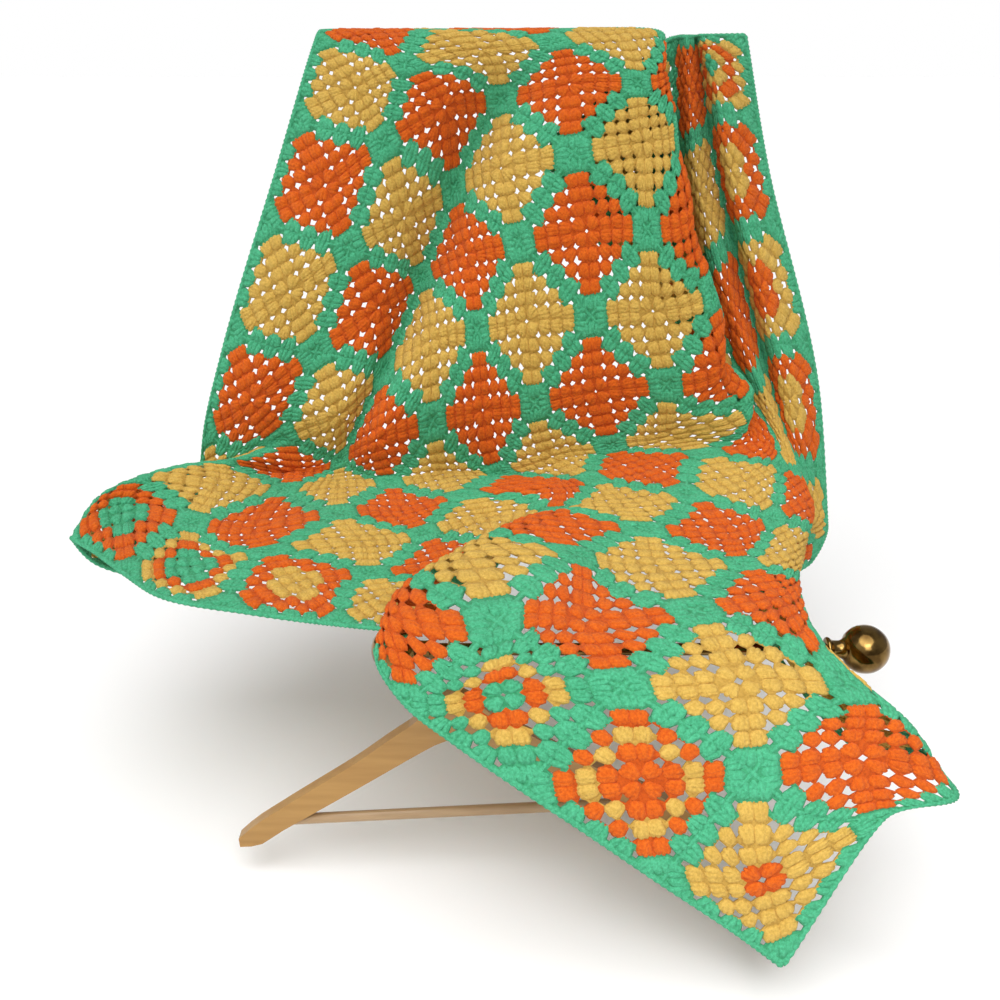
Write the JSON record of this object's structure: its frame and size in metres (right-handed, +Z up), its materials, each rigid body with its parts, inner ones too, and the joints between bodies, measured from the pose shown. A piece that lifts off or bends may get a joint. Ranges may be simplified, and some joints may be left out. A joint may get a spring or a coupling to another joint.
{
  "type": "crochet blanket draped over a hanger rail with knobs",
  "caption": "Square crochet blanket of joined two-colour squares, draped over an edge and a knobbed rail that carries a wooden hanger.",
  "frame": {"origin": "middle of the top edge, where the cloth turns over the upper level that it lies on", "axes": "+Z up, the front of the drape faces -Y, +X to the viewer's right"},
  "size_m": [0.8773, 0.7719, 0.7693],
  "materials": {
    "yarn": "matte acrylic yarn, green joining with orange and mustard squares",
    "hanger_wood": "satin varnish",
    "hook_steel": "polished wire",
    "antique_brass": "polished, darkened in the hollows"
  },
  "bodies": {
    "root": {"blanket": "yarn", "hanger_arms": "hanger_wood", "hanger_bar": "hanger_wood", "hanger_hook": "hook_steel", "rod": "antique_brass", "knob_left": "antique_brass", "knob_right": "antique_brass"}
  },
  "joints": []
}
